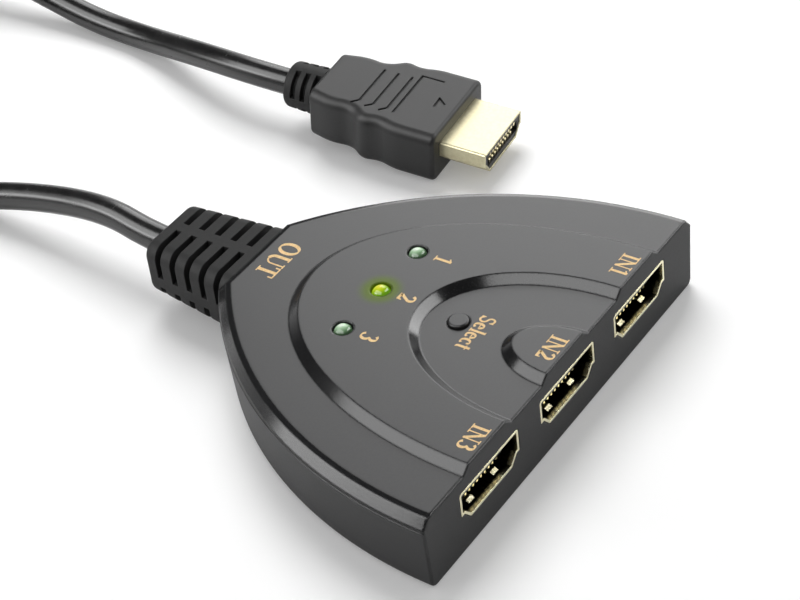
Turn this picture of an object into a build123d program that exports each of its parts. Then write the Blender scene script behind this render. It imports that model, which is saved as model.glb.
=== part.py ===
from build123d import *
from math import atan2, cos, pi, radians, sin, sqrt, tan
import os

# Three-way digital video switch box with a captive output cable, in millimetres.
# X runs across the row of input sockets, -Y is the way a plug leaves them,
# +Z is up. The origin is the middle of the casing's footprint, on the table.

os.makedirs("parts", exist_ok=True)

# Casing: plan outline at the parting line, levels and walls
case_width = 74.2
case_depth = 56.0
rear_width = 16.8
parting_height = 11.0
rim_height = 12.8
step_height = 1.2
crown_run = 0.8
crown_drop = 0.15
bevel_run = 2.2
side_draft = 0.5
base_edge = 1.2
wall = 1.7
lip_depth = 0.9
lip_gap = 0.1
seam_groove = 0.18
front_edge = 0.35

# Raised and sunk half ellipses on the top, centred on the front face
plateau_half_width = 25.5
plateau_length = 43.0
valley_half_width = 16.0
valley_length = 24.5
tongue_half_width = 5.0
tongue_length = 8.4
step_run = 1.5

# Board, and the screws that hold it and the casing together
board_bottom = 3.3
board_thickness = 1.6
board_gap = 0.7
screw_radius = 1.0
screw_head_radius = 1.9
screw_head_height = 1.3
screw_head_sink = 0.6
screw_length = 8.0
screw_slot = 0.5
boss_radius = 2.4
boss_gap = 0.35
thread_gap = 0.03
head_gap = 0.25
front_screw_x = 31.2
front_screw_inset = 6.6
rear_screw_x = 15.5
rear_screw_inset = 16.0

# Input sockets: sheet-metal shell round a moulded tongue
port_count = 3
port_pitch = 20.9
port_width = 15.0
port_height = 5.6
port_side = 4.0
port_step = 0.75
port_base = 10.7
port_depth = 12.0
port_sheet = 0.4
port_corner = 0.5
port_gap = 0.12
port_tab_width = 1.2
port_tab_drop = 2.1
port_tab_inset = 3.0
tab_gap = 0.2
spring_width = 1.3
spring_length = 3.2
spring_rise = 0.35
spring_x = 3.1
spring_inset = 0.8
tongue_width = 10.6
tongue_thickness = 1.1
tongue_drop = 2.0
tongue_setback = 1.6
socket_block = 3.0
contact_pitch = 1.0
contact_width = 0.34
contact_thickness = 0.14
contact_count = 10
contact_tail = 1.4
contact_hook = 0.4

# Indicator lamps
led_pitch = 9.9
led_from_front = 31.5
led_radius = 1.5
led_flange_radius = 1.9
led_flange_height = 1.0
led_height = 5.3
led_proud = 0.5
led_gap = 0.1
lead_side = 0.5
lead_spacing = 2.54
lead_stick_out = 0.4
hole_gap = 0.15

# Select button and the tact switch under it
button_from_front = 18.0
button_radius = 1.6
button_gap = 0.12
button_proud = 0.5
button_edge = 0.3
button_flange_radius = 2.6
button_flange_height = 0.6
button_ceiling_gap = 0.1
tact_side = 6.0
tact_height = 3.5
tact_cover_thickness = 0.2
tact_well_radius = 2.4
tact_well_depth = 1.6
tact_corner = 0.4
plunger_stand = 0.8
plunger_flange_radius = 2.2
plunger_flange_height = 0.55
plunger_nub_radius = 0.8
plunger_gap = 0.05
dome_radius = 2.1
dome_rise = 0.45
dome_thickness = 0.1
terminal_y = 2.25
terminal_height = 0.6

# Parts soldered to the board
chip_side = 8.0
chip_height = 1.3
chip_stand = 0.1
chip_gap = 1.5
chip_edge = 0.25
pin_count = 10
pin_pitch = 0.65
pin_width = 0.26
pin_thickness = 0.15
pin_reach = 1.0
pin_foot = 0.5
passive_length = 1.6
passive_width = 0.8
passive_height = 0.5
passive_pitch = 2.4
capacitor_length = 2.6
capacitor_width = 1.6
capacitor_height = 1.2
capacitor_pitch = 3.4
capacitor_count = 3

# Output cable, its boot and its cores
cord_diameter = 4.7
cord_height = 8.6
boot_length = 16.0
boot_root_width = 16.6
boot_root_height = 10.8
boot_tip_width = 13.2
boot_tip_height = 9.4
boot_root_top_drop = 0.1
boot_tip_top_drop = 0.1
boot_corner = 2.4
boot_edge = 1.0
boot_neck_width = 10.0
boot_neck_height = 5.8
boot_flange_width = 13.6
boot_flange_thickness = 2.0
boot_gap = 0.1
slot_width = 1.15
slot_pitch = 3.07
slot_count = 5
slot_depth = 1.3
slot_root_offset = 0.8
slot_bridge = 1.8
slot_side_bridge = 1.9
slot_side_height = 6.45
jacket_strip = 1.2
core_radius = 0.55
core_count = 4
core_spread = 2.3
core_bunch = 1.15
core_straight = 1.4
core_landing = 2.6
core_drop = 3.0

# Output plug, resting on the lower edge of its front, with its tail held up by the stiff cord
plug_front_x = 49.9
plug_front_y = 23.2
plug_turn = 6.4
plug_pitch = 5.0
plug_length = 24.8
plug_width = 19.0
plug_thickness = 9.3
plug_side_edge = 1.7
plug_front_edge = 0.7
# Corners of the grip's side before rounding: shares of plug_length, and of plug_width / 2
plug_outline_shares = [
    (0, 1),
    (0.31, 1),
    (0.435, 0.905),
    (0.55, 0.985),
    (0.67, 0.745),
    (0.83, 0.8),
    (1, 0.69),
]
plug_shell_width = 13.9
plug_shell_height = 4.45
plug_shell_side = 2.6
plug_shell_step = 0.45
plug_shell_base = 10.2
plug_shell_length = 8.3
plug_shell_sheet = 0.35
plug_shell_corner = 0.45
plug_shell_root = 1.6
plug_liner_setback = 0.15
plug_slot_width = 11.2
plug_slot_height = 1.9
plug_slot_depth = 7.5
plug_blade_width = 0.5
plug_blade_height = 0.55
plug_contact_setback = 1.2
plug_boot_length = 6.8
plug_boot_root_radius = 4.3
plug_boot_tip_radius = 4.0
plug_boot_edge = 0.8
plug_ring_count = 3
plug_ring_pitch = 1.93
plug_ring_width = 0.95
plug_ring_start = 0.8
plug_ring_depth = 1.0
plug_ring_bridge = 2.2
plug_side_bridge = 1.8
plug_side_drop = 0.9
groove_width = 0.4
groove_depth = 0.3
groove_count = 3
groove_pitch = 2.6
groove_start = 10.7
groove_near = 4.9
groove_far = 4.6
groove_tail = 1.1
frame_groove_y = 9.3
frame_groove_half = 5.6
frame_groove_run = 4.1
arrow_tip = (1.1, 3.9)
arrow_legs = [(-1.3, 3.8), (-0.1, 2.4)]

# The rest of the cord: a coil of two layers on the table behind the box
coil_x = 26.0
coil_y = 148.0
coil_radius = 28.3
turn_gap = 1.5
layer_gap = 0.5
# Points that the cord passes on its way from the boot to the coil, and from the coil to the plug
route_out = [
    (0.0, 48.0, 8.6),
    (1.8, 59.0, 9.3),
    (2.1, 75.0, 6.3),
    (0.2, 91.0, 2.35),
    (-1.7, 107.5, 2.35),
    (-2.3, 126.0, 2.35),
]
route_back = [
    (54.3, 131.5, 7.55),
    (54.0, 119.0, 4.9),
    (53.3, 105.5, 2.35),
    (52.5, 92.0, 2.35),
    (48.2, 76.0, 6.1),
]
# Straight run of the cord behind the plug's boot
cord_lead = 7.5
# Radius of each arc of the cord, as a share of what the shorter run beside it allows
arc_share = 0.45
# Points on the coil between which its least gap is measured
gap_points = 400

# How far every cutter runs past the face that it cuts
overrun = 1.0

# Worked out from the sizes above
front_y = -case_depth / 2
rear_y = case_depth / 2
half_width = case_width / 2
rear_half = rear_width / 2
flank_centre = (rear_half**2 + case_depth**2 - half_width**2) / (2 * (half_width - rear_half))
flank_radius = half_width + flank_centre
top_height = rim_height + step_height
board_top = board_bottom + board_thickness
cord_radius = cord_diameter / 2
led_y = front_y + led_from_front
button_y = front_y + button_from_front
port_top = board_top + port_height
screw_seat = screw_head_sink + screw_head_height
boot_tip_y = rear_y + boot_length
coil_layer = cord_diameter + layer_gap
turn_step = cord_diameter + turn_gap
contact_reach = contact_tail * 3 / 2
chip_reach = chip_side / 2 + pin_reach
chip_x = tact_side / 2 + lead_side + chip_gap + chip_reach
chip_y = front_y + port_depth + contact_reach + chip_gap + chip_reach
led_top = top_height + led_proud
flange_y = rear_y - side_draft - wall - boot_gap - boot_flange_thickness
board_back = flange_y - jacket_strip - core_drop
lead_hole_radius = lead_side / sqrt(2) + hole_gap
terminal_x = (tact_side + lead_side) / 2


def ogive(profile, front):
    """Pointed-arch plan between two flank arcs, a rear flat and a flat front.

    profile lists (outward offset from the parting outline, height) from the bottom up."""
    low, high = profile[0][1], profile[-1][1]
    section = [(flank_radius + out, height) for out, height in profile]
    disc_face = make_face(Polyline((0, low), *section, (0, high), close=True))
    disc = revolve(Plane.XZ * disc_face, Axis.Z, 180)
    flanks = []
    for side in (-1, 1):
        flanks.append(Pos(side * flank_centre, front_y, 0) * disc)
    rear = [(rear_y + out, height) for out, height in profile]
    slab_face = make_face(Polyline((front, low), *rear, (front, high), close=True))
    slab = extrude(Plane.YZ * slab_face, amount=half_width + overrun, both=True)
    return flanks[0] & flanks[1] & slab


def half_step(half, length, base, grow, low, high):
    """Half ellipse round the middle of the front face, with a sloped wall.

    half and length are taken at the level base; the wall grows outwards by grow per mm."""
    sections = []
    for level in (low, high):
        out = (level - base) * grow
        sections.append(Pos(0, front_y, level) * Ellipse(half + out, length + out))
    solid = loft(sections)
    keep = Pos(0, front_y, 0) * Box(
        4 * half, 2 * length, 2 * top_height + overrun, align=(Align.CENTER, Align.MIN, Align.MIN)
    )
    return solid & keep


def case_form(inset, front):
    """The casing's outer shape, or with an inset its inside, with steps that follow the top."""
    slope = step_run / step_height
    roof = rim_height - inset
    if inset:
        profile = [(-side_draft - inset, inset), (-inset, roof)]
    else:
        profile = [
            (-side_draft, 0),
            (0, parting_height),
            (crown_run - bevel_run, rim_height - crown_drop),
            (-bevel_run, rim_height),
        ]
    form = ogive(profile, front)
    crown = top_height - inset
    under = roof - crown_drop
    above = crown + step_height
    form += half_step(plateau_half_width - inset, plateau_length - inset, crown, -slope, under, crown)
    form -= half_step(valley_half_width + inset, valley_length + inset, crown, slope, roof, above)
    form += half_step(tongue_half_width - inset / 2, tongue_length - inset / 2, crown, -slope, under, crown)
    if front > front_y:
        ahead = Box(2 * case_width, case_depth, 2 * top_height, align=(Align.CENTER, Align.MAX, Align.MIN))
        form -= Pos(0, front, 0) * ahead
    return form


def case_shell():
    """Both halves of the casing in one piece, hollow, with its edges rounded."""
    outer = case_form(0, front_y)
    below = outer.edges().filter_by(lambda edge: edge.bounding_box().max.Z < base_edge / 2)
    outer = fillet(below.filter_by(lambda edge: edge.center().Y > front_y + base_edge), base_edge)
    ahead = outer.edges().filter_by(lambda edge: edge.bounding_box().max.Y < front_y + front_edge / 2)
    base = ahead.filter_by(lambda edge: edge.bounding_box().max.Z < front_edge)
    brow = ahead.filter_by(lambda edge: edge.bounding_box().min.Z > parting_height - front_edge)
    outer = fillet(base + brow, front_edge)
    return outer - case_form(wall, front_y + wall)


def band(low, high):
    """A slab over the whole casing between two levels."""
    size = 2 * (case_width + case_depth)
    return Pos(0, 0, low) * Box(size, size, high - low, align=(Align.CENTER, Align.CENTER, Align.MIN))


def front_frame():
    """The stretch of front wall that belongs to the cover, mitred at both corners."""
    sections = []
    for level, half in ((-side_draft, half_width - side_draft), (parting_height, half_width)):
        near = front_y - overrun
        back = front_y + wall
        outline = Polyline(
            (-half - overrun, near),
            (half + overrun, near),
            (half - wall, back),
            (wall - half, back),
            close=True,
        )
        sections.append(Pos(0, 0, level) * make_face(outline))
    return loft(sections)


def ring_between(outer_inset, inner_inset, low, high):
    """Upright ring inside the flanks and the rear wall, between two insets."""
    start = front_y + wall
    outer = ogive([(-outer_inset, low), (-outer_inset, high)], start)
    inner = ogive([(-inner_inset, low), (-inner_inset, high)], start - overrun)
    return outer - inner


def screw_places():
    """Place of each screw and the level of the boss that it enters."""
    front = front_y + front_screw_inset
    rear = rear_y - rear_screw_inset
    places = []
    for side in (-1, 1):
        places.append((side * front_screw_x, front, board_bottom))
        places.append((side * rear_screw_x, rear, board_top))
    return places


def cylinder(radius, low, high):
    return Pos(0, 0, low) * Cylinder(radius, high - low, align=(Align.CENTER, Align.CENTER, Align.MIN))


def port_outline(width, height, side, step, base, corner):
    """Wide-side-up socket outline in X and Z, with its top edge on zero."""
    half = width / 2
    points = [
        (-half, 0),
        (half, 0),
        (half, -side),
        (half - step, -side),
        (base / 2, -height),
        (-base / 2, -height),
        (step - half, -side),
        (-half, -side),
    ]
    face = make_face(Polyline(*points, close=True))
    tops = face.vertices().sort_by(Axis.Y)[-2:]
    lows = face.vertices().sort_by(Axis.Y)[:2]
    return fillet(tops + lows, corner)


def socket_face(grow):
    face = port_outline(port_width, port_height, port_side, port_step, port_base, port_corner)
    if grow:
        face = offset(face, amount=grow, kind=Kind.INTERSECTION)
    return face


def along_y(face, start, length):
    """Extrude an X-Z outline along +Y from start."""
    placed = Plane(origin=(0, start, 0), x_dir=(1, 0, 0), z_dir=(0, -1, 0)) * face
    return extrude(placed, amount=-length)


def across(pitch):
    """X of each of the channels, from the first input at +X to the last."""
    return [pitch * ((port_count - 1) / 2 - index) for index in range(port_count)]


def boot_section(width, height, top, y):
    corner = min(boot_corner, width / 3, height / 3)
    face = RectangleRounded(width, height, corner)
    plane = Plane(origin=(0, y, top - height / 2), x_dir=(-1, 0, 0), z_dir=(0, 1, 0))
    return plane * face


def boot_passage(gap):
    """Neck through the rear wall, shared by the boot and the case opening."""
    face = Rectangle(boot_neck_width + 2 * gap, boot_neck_height + 2 * gap)
    plane = Plane(origin=(0, rear_y - wall - overrun, cord_height), x_dir=(-1, 0, 0), z_dir=(0, 1, 0))
    return extrude(plane * face, amount=wall + 2 * overrun)


def top_case(shell):
    upper = shell & band(parting_height, top_height + overrun)
    frame = shell & band(-overrun, parting_height) & front_frame()
    cover = upper + frame
    cover += ring_between(wall / 2, wall, parting_height - lip_depth, parting_height + lip_depth) & (
        case_form(wall / 2, front_y + wall) & band(parting_height - lip_depth, parting_height + wall)
    )
    for x, y, foot in screw_places():
        cover += Pos(x, y, 0) * cylinder(boss_radius, foot, rim_height - wall / 2)
        bore = cylinder(screw_radius + thread_gap, foot - overrun, screw_seat + screw_length + screw_slot)
        cover -= Pos(x, y, 0) * bore
    for x in across(port_pitch):
        mouth = along_y(socket_face(port_gap), front_y - overrun, wall + 2 * overrun)
        cover -= Pos(x, 0, port_top) * mouth
    for x in across(led_pitch):
        hole = cylinder(led_radius + led_gap, rim_height - 2 * wall, top_height + overrun)
        cover -= Pos(x, led_y, 0) * hole
    cover -= Pos(0, button_y, 0) * cylinder(button_radius + button_gap, rim_height - 2 * wall, top_height)
    cover -= boot_passage(boot_gap)
    return cover


def bottom_case(shell):
    tray = shell & band(-overrun, parting_height)
    tray -= front_frame()
    tray -= ring_between(
        wall / 2 - lip_gap, wall + overrun, parting_height - lip_depth - lip_gap, parting_height + overrun
    )
    groove = ogive([(overrun, parting_height - seam_groove), (overrun, parting_height + overrun)], front_y)
    groove -= ogive(
        [(-2 * seam_groove, parting_height - seam_groove), (-2 * seam_groove, parting_height + overrun)],
        front_y - overrun,
    )
    tray -= groove
    for x, y, _ in screw_places():
        tray += Pos(x, y, 0) * cylinder(boss_radius, wall / 2, board_bottom)
        tray -= Pos(x, y, 0) * cylinder(screw_radius + head_gap, -overrun, board_bottom + overrun)
        head_room = cylinder(screw_head_radius + head_gap, -overrun, screw_seat)
        tray -= Pos(x, y, 0) * head_room
    tray -= boot_passage(boot_gap)
    return tray


def main_board():
    inset = wall + board_gap
    start = front_y + wall + port_gap
    board = ogive([(-inset, board_bottom), (-inset, board_top)], start)
    board &= Pos(0, board_back, 0) * Box(
        case_width, case_depth, 2 * top_height, align=(Align.CENTER, Align.MAX, Align.CENTER)
    )
    low, high = board_bottom - overrun, board_top + overrun
    for x, y, foot in screw_places():
        radius = boss_radius + boss_gap if foot == board_bottom else screw_radius + head_gap
        board -= Pos(x, y, 0) * cylinder(radius, low, high)
    slot = Box(port_sheet + tab_gap, port_tab_width + tab_gap, 2 * top_height)
    for port_x in across(port_pitch):
        for x, y in tab_places(port_x):
            board -= Pos(x, y, 0) * slot
    holes = terminal_places()
    for led_x in across(led_pitch):
        holes += lead_places(led_x)
    for x, y in holes:
        board -= Pos(x, y, 0) * cylinder(lead_hole_radius, low, high)
    return board


def tab_places(port_x):
    """Through-board tabs of a socket's shell, two on each side."""
    reach = (port_base - port_sheet) / 2
    places = []
    for y in (front_y + port_tab_inset, front_y + port_depth - port_tab_inset):
        places.append((port_x - reach, y))
        places.append((port_x + reach, y))
    return places


def lead_places(led_x):
    return [(led_x - lead_spacing / 2, led_y), (led_x + lead_spacing / 2, led_y)]


def terminal_places():
    places = []
    for y in (button_y - terminal_y, button_y + terminal_y):
        places.append((-terminal_x, y))
        places.append((terminal_x, y))
    return places


def receptacle_shell(x):
    """Folded sheet shell with board tabs and two springs that press on a plug."""
    skin = socket_face(0) - socket_face(-port_sheet)
    shell = Pos(x, 0, port_top) * along_y(skin, front_y, port_depth)
    tab_height = port_tab_drop + port_sheet
    tab = Box(port_sheet, port_tab_width, tab_height, align=(Align.CENTER, Align.CENTER, Align.MAX))
    for tab_x, tab_y in tab_places(x):
        shell += Pos(tab_x, tab_y, board_top + port_sheet) * tab
    floor = board_top + port_sheet
    start = front_y + spring_inset
    spring_face = make_face(
        Polyline(
            (start, floor - port_sheet / 2),
            (start + spring_length / 3, floor + spring_rise),
            (start + spring_length, floor - port_sheet / 2),
            close=True,
        )
    )
    for side in (-1, 1):
        plane = Plane.YZ.offset(x + side * spring_x)
        shell += extrude(plane * spring_face, amount=spring_width / 2, both=True)
    return shell


def contact_rows(x):
    """Blades along both faces of a socket's tongue, hooked over its tip, with tails to the board."""
    low = port_top - port_sheet - tongue_drop - tongue_thickness
    start = front_y + tongue_setback
    back = front_y + port_depth
    blades = []
    for row, count in ((1, contact_count), (0, contact_count - 1)):
        base = low + row * tongue_thickness - contact_thickness / 2
        drop = back + contact_tail * row / 2
        face = Polyline(
            (start, base),
            (start, base + contact_thickness),
            (drop + contact_thickness, base + contact_thickness),
            (drop + contact_thickness, board_top + contact_thickness),
            (drop + contact_tail, board_top + contact_thickness),
            (drop + contact_tail, board_top),
            (drop, board_top),
            (drop, base),
            close=True,
        )
        blade = extrude(Plane.YZ * make_face(face), amount=contact_width / 2, both=True)
        side = Align.MAX if row else Align.MIN
        hook = Box(
            contact_width, contact_thickness, contact_hook, align=(Align.CENTER, Align.MIN, side)
        )
        blade += Pos(0, start, base + row * contact_thickness) * hook
        for index in range(count):
            blades.append(Pos(x + (index - (count - 1) / 2) * contact_pitch, 0, 0) * blade)
    return Compound(children=blades)


def receptacle_insulator(x):
    """Moulded block at the back of the shell, with the tongue that enters a plug."""
    inner = socket_face(-port_sheet)
    block = Pos(0, 0, port_top) * along_y(inner, front_y + port_depth - socket_block, socket_block)
    low = port_top - port_sheet - tongue_drop - tongue_thickness
    start = front_y + tongue_setback
    tongue = Pos(0, start, low) * Box(
        tongue_width,
        port_depth - tongue_setback,
        tongue_thickness,
        align=(Align.CENTER, Align.MIN, Align.MIN),
    )
    tip = tongue.edges().filter_by(Axis.X).group_by(Axis.Y)[0]
    body = block + chamfer(tip, tongue_thickness / 4)
    return Pos(x, 0, 0) * body - contact_rows(x)


def led_lens(x):
    low = led_top - led_height
    lens = Pos(x, led_y, 0) * cylinder(led_flange_radius, low, low + led_flange_height)
    lens += Pos(x, led_y, 0) * cylinder(led_radius, low, led_top - led_radius)
    return lens + Pos(x, led_y, led_top - led_radius) * Sphere(led_radius)


def led_leads(x):
    high = led_top - led_height
    low = board_bottom - lead_stick_out
    lead = Box(lead_side, lead_side, high - low, align=(Align.CENTER, Align.CENTER, Align.MIN))
    return Compound(children=[Pos(lead_x, y, low) * lead for lead_x, y in lead_places(x)])


def button_cap():
    low = board_top + tact_height + plunger_stand
    top = rim_height + button_proud
    flange_top = rim_height - wall - button_ceiling_gap
    cap = cylinder(button_radius, low, top)
    cap = fillet(cap.edges().group_by(Axis.Z)[-1], button_edge)
    cap += cylinder(button_flange_radius, flange_top - button_flange_height, flange_top)
    return Pos(0, button_y, 0) * cap


def tact_plunger():
    cover_low = board_top + tact_height - tact_cover_thickness
    flange_top = cover_low - button_ceiling_gap
    flange_low = flange_top - plunger_flange_height
    nub_low = board_top + tact_height - tact_cover_thickness - tact_well_depth + dome_rise + plunger_gap
    plunger = cylinder(button_radius, flange_low, board_top + tact_height + plunger_stand)
    plunger += cylinder(plunger_flange_radius, flange_low, flange_top)
    plunger += cylinder(plunger_nub_radius, nub_low, flange_low + plunger_flange_height / 2)
    return Pos(0, button_y, 0) * plunger


def tact_body():
    height = tact_height - tact_cover_thickness
    body = Pos(0, 0, board_top) * Box(
        tact_side, tact_side, height, align=(Align.CENTER, Align.CENTER, Align.MIN)
    )
    body = chamfer(body.edges().filter_by(Axis.Z), tact_corner)
    body -= cylinder(tact_well_radius, board_top + height - tact_well_depth, board_top + tact_height)
    return Pos(0, button_y, 0) * body


def tact_cover():
    low = board_top + tact_height - tact_cover_thickness
    cover = Pos(0, 0, low) * Box(
        tact_side, tact_side, tact_cover_thickness, align=(Align.CENTER, Align.CENTER, Align.MIN)
    )
    cover = chamfer(cover.edges().filter_by(Axis.Z), tact_corner)
    cover -= cylinder(button_radius + button_gap / 2, low - overrun, low + overrun)
    return Pos(0, button_y, 0) * cover


def tact_dome():
    """Snap dome: a thin spherical cap whose rim rests on the floor of the well."""
    floor = board_top + tact_height - tact_cover_thickness - tact_well_depth
    inner_rise = dome_rise - dome_thickness
    inner_radius = dome_radius - 2 * dome_thickness
    faces = []
    for rim, rise in ((dome_radius, dome_rise), (inner_radius, inner_rise)):
        ball = (rim**2 + rise**2) / (2 * rise)
        half = atan2(rim, ball - rise) / 2
        middle = (ball * sin(half), ball * cos(half) - ball + rise)
        arc = ThreePointArc((rim, 0), middle, (0, rise))
        faces.append(make_face([arc, Line((0, rise), (0, 0)), Line((0, 0), (rim, 0))]))
    dome = revolve(Plane.XZ * (faces[0] - faces[1]), Axis.Z)
    return Pos(0, button_y, floor) * dome


def tact_terminals():
    low = board_bottom - lead_stick_out
    high = board_top + terminal_height
    pin = Box(lead_side, lead_side, high - low, align=(Align.CENTER, Align.CENTER, Align.MIN))
    return Compound(children=[Pos(x, y, low) * pin for x, y in terminal_places()])


def switch_chip():
    low = board_top + chip_stand
    chip = Pos(chip_x, chip_y, low) * Box(
        chip_side, chip_side, chip_height, align=(Align.CENTER, Align.CENTER, Align.MIN)
    )
    return chamfer(chip.edges().group_by(Axis.Z)[-1], chip_edge)


def chip_pins():
    """Gull-wing leads on all four sides of the switching chip."""
    side = chip_side / 2
    bend = board_top + chip_stand + chip_height / 2
    foot = side + pin_reach - pin_foot
    face = Polyline(
        (side, bend),
        (side, bend + pin_thickness),
        (foot, bend + pin_thickness),
        (foot, board_top + pin_thickness),
        (side + pin_reach, board_top + pin_thickness),
        (side + pin_reach, board_top),
        (foot - pin_thickness, board_top),
        (foot - pin_thickness, bend),
        close=True,
    )
    pin = extrude(Plane.XZ * make_face(face), amount=pin_width / 2, both=True)
    pins = []
    for turn in range(4):
        for index in range(pin_count):
            slide = (index - (pin_count - 1) / 2) * pin_pitch
            pins.append(Pos(chip_x, chip_y, 0) * Rot(0, 0, turn * 90) * Pos(0, slide, 0) * pin)
    return Compound(children=pins)


def board_blocks(length, width, height, places):
    block = Box(width, length, height, align=(Align.CENTER, Align.CENTER, Align.MIN))
    return Compound(children=[Pos(x, y, board_top) * block for x, y in places])


def resistors():
    """Small series resistors in a row behind the switch."""
    row = button_y + tact_side / 2 + passive_length
    places = []
    for x in across(port_pitch):
        for shift in across(passive_pitch):
            places.append((x + shift, row))
    return board_blocks(passive_length, passive_width, passive_height, places)


def capacitors():
    """Decoupling capacitors beside and behind the chip."""
    places = []
    for index in range(capacitor_count):
        y = chip_y + (index - (capacitor_count - 1) / 2) * capacitor_pitch
        places.append((chip_x + chip_reach + capacitor_width, y))
    for side in (-1, 1):
        places.append((chip_x + side * capacitor_pitch / 2, chip_y + chip_reach + capacitor_length))
    return board_blocks(capacitor_length, capacitor_width, capacitor_height, places)


def case_screws():
    """Self-tapping pan-head screws driven from below, with cross recesses."""
    screws = []
    for x, y, _ in screw_places():
        head = cylinder(screw_head_radius, screw_head_sink, screw_seat)
        head = chamfer(head.edges().group_by(Axis.Z)[0], screw_head_height / 3)
        tip = screw_seat + screw_length
        shank = cylinder(screw_radius, screw_seat - screw_head_height / 2, tip)
        shank = chamfer(shank.edges().group_by(Axis.Z)[-1], screw_radius / 2)
        screw = head + shank
        for turn in (0, 90):
            recess = Box(2 * screw_radius, screw_slot, screw_head_height)
            screw -= Pos(0, 0, screw_head_sink) * Rot(0, 0, turn) * recess
        screws.append(Pos(x, y, 0) * screw)
    return Compound(children=screws)


def boot_ring(low, high):
    """Everything outside the boot's core between two values of Y."""
    reach = boot_root_width + overrun
    outer = Pos(0, low, 0) * Box(
        reach, high - low, 2 * reach, align=(Align.CENTER, Align.MIN, Align.CENTER)
    )
    share = (low - rear_y) / boot_length
    width = boot_root_width + (boot_tip_width - boot_root_width) * share - 2 * slot_depth
    top = rim_height - slot_depth - boot_root_top_drop
    height = boot_tip_height - 2 * slot_depth + (boot_root_height - boot_tip_height) * (1 - share)
    core = boot_section(width, height, top, low - overrun)
    outer -= extrude(core, amount=high - low + 2 * overrun)
    outer -= Box(slot_bridge, 2 * case_depth, 2 * case_width)
    outer -= Pos(0, 0, slot_side_height) * Box(2 * case_width, 2 * case_depth, slot_side_bridge)
    return outer


def cable_boot(outside):
    """Strain relief: ribbed outside, a neck through the wall and a flange inside."""
    root_top = rim_height - boot_root_top_drop
    tip_top = rim_height - boot_tip_top_drop
    root = boot_section(boot_root_width, boot_root_height, root_top, rear_y - bevel_run)
    tip = boot_section(boot_tip_width, boot_tip_height, tip_top, boot_tip_y)
    boot = loft([root, tip])
    boot = fillet(boot.faces().sort_by(Axis.Y)[-1].edges(), boot_edge)
    for index in range(slot_count):
        low = rear_y + slot_root_offset + index * slot_pitch - slot_width / 2
        boot -= boot_ring(low, low + slot_width)
    boot -= outside
    boot += boot_passage(0)
    boot += Pos(0, flange_y, wall + boot_gap) * Box(
        boot_flange_width,
        boot_flange_thickness,
        rim_height - 2 * wall - 2 * boot_gap,
        align=(Align.CENTER, Align.MIN, Align.MIN),
    )
    boot -= Pos(0, flange_y - overrun, cord_height) * Rot(-90, 0, 0) * Cylinder(
        cord_radius, case_depth, align=(Align.CENTER, Align.CENTER, Align.MIN)
    )
    return boot


def cable_end():
    """The end of the cable, held in the boot, with its jacket stripped inside the box."""
    start = flange_y - jacket_strip
    length = boot_tip_y - start
    return Pos(0, start, cord_height) * Rot(-90, 0, 0) * Cylinder(
        cord_radius, length, align=(Align.CENTER, Align.CENTER, Align.MIN)
    )


def cable_cores():
    """Insulated cores that fan out from the cable's end and drop to the board."""
    start = flange_y - jacket_strip
    low = board_top + core_radius
    cores = []
    for index in range(core_count):
        place = index - (core_count - 1) / 2
        points = [
            (place * core_bunch, start, cord_height),
            (place * core_bunch, start - core_straight, cord_height),
            (place * core_spread, board_back - core_landing / 2, low),
            (place * core_spread, board_back - core_landing * 4 / 3, low),
        ]
        path = FilletPolyline(*points, radius=[core_radius * 2] * 2)
        profile = Plane(origin=path @ 0, z_dir=path % 0) * Circle(core_radius)
        cores.append(sweep(profile, path=path))
    return Compound(children=cores)


def plug_place():
    """The plug's own frame: origin under the middle of the grip's front, +Y to its cord."""
    tilt = radians(plug_pitch)
    sink = plug_front_edge * (sin(tilt) + cos(tilt) - 1)
    return Pos(plug_front_x, plug_front_y, -sink) * Rot(0, 0, plug_turn) * Rot(plug_pitch, 0, 0)


def plug_shell_face(grow):
    face = port_outline(
        plug_shell_width,
        plug_shell_height,
        plug_shell_side,
        plug_shell_step,
        plug_shell_base,
        plug_shell_corner,
    )
    if grow:
        face = offset(face, amount=grow, kind=Kind.INTERSECTION)
    return face


def plug_tube(face, start, length):
    return Pos(0, 0, (plug_thickness + plug_shell_height) / 2) * along_y(face, start, length)


def groove(points):
    """Square channel sunk into the top of the grip along a line of points."""
    line = Polyline(*points)
    strip = trace(line, line_width=groove_width)
    return extrude(Pos(0, 0, plug_thickness - groove_depth) * strip, amount=groove_depth + overrun)


def plug_grip():
    """Moulded grip with waisted sides, grip lines and an arrow on its upper face."""
    half = plug_width / 2
    outline = []
    for side in (-1, 1):
        points = [(side * half * wide, plug_length * back) for back, wide in plug_outline_shares]
        outline.append(FilletPolyline(*points, radius=corner_radii(points)))
    near, far = outline
    edges = [Line(near @ 0, far @ 0), *near.edges(), Line(near @ 1, far @ 1), *far.edges()]
    grip = extrude(make_face(edges), amount=plug_thickness)
    rims = grip.edges().group_by(Axis.Z)
    grip = fillet((rims[0] + rims[-1]).filter_by(Axis.X, reverse=True), plug_side_edge)
    ends = grip.faces().sort_by(Axis.Y)
    grip = fillet(ends[0].edges() + ends[-1].edges(), plug_front_edge)
    grip -= plug_tube(plug_shell_face(0), -overrun, plug_shell_root + overrun)
    for index in range(groove_count):
        y = groove_start + index * groove_pitch
        grip -= groove([(groove_far, y), (-groove_near, y), (-groove_near - groove_tail, y + groove_tail)])
    y = frame_groove_y
    half = frame_groove_half
    grip -= groove([(-half, y), (half, y), (half, y - frame_groove_run)])
    grip -= groove([arrow_legs[0], arrow_tip, arrow_legs[1]])
    return plug_place() * grip


def plug_shell():
    skin = plug_shell_face(0) - plug_shell_face(-plug_shell_sheet)
    return plug_place() * plug_tube(skin, -plug_shell_length, plug_shell_length + plug_shell_root)


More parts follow.
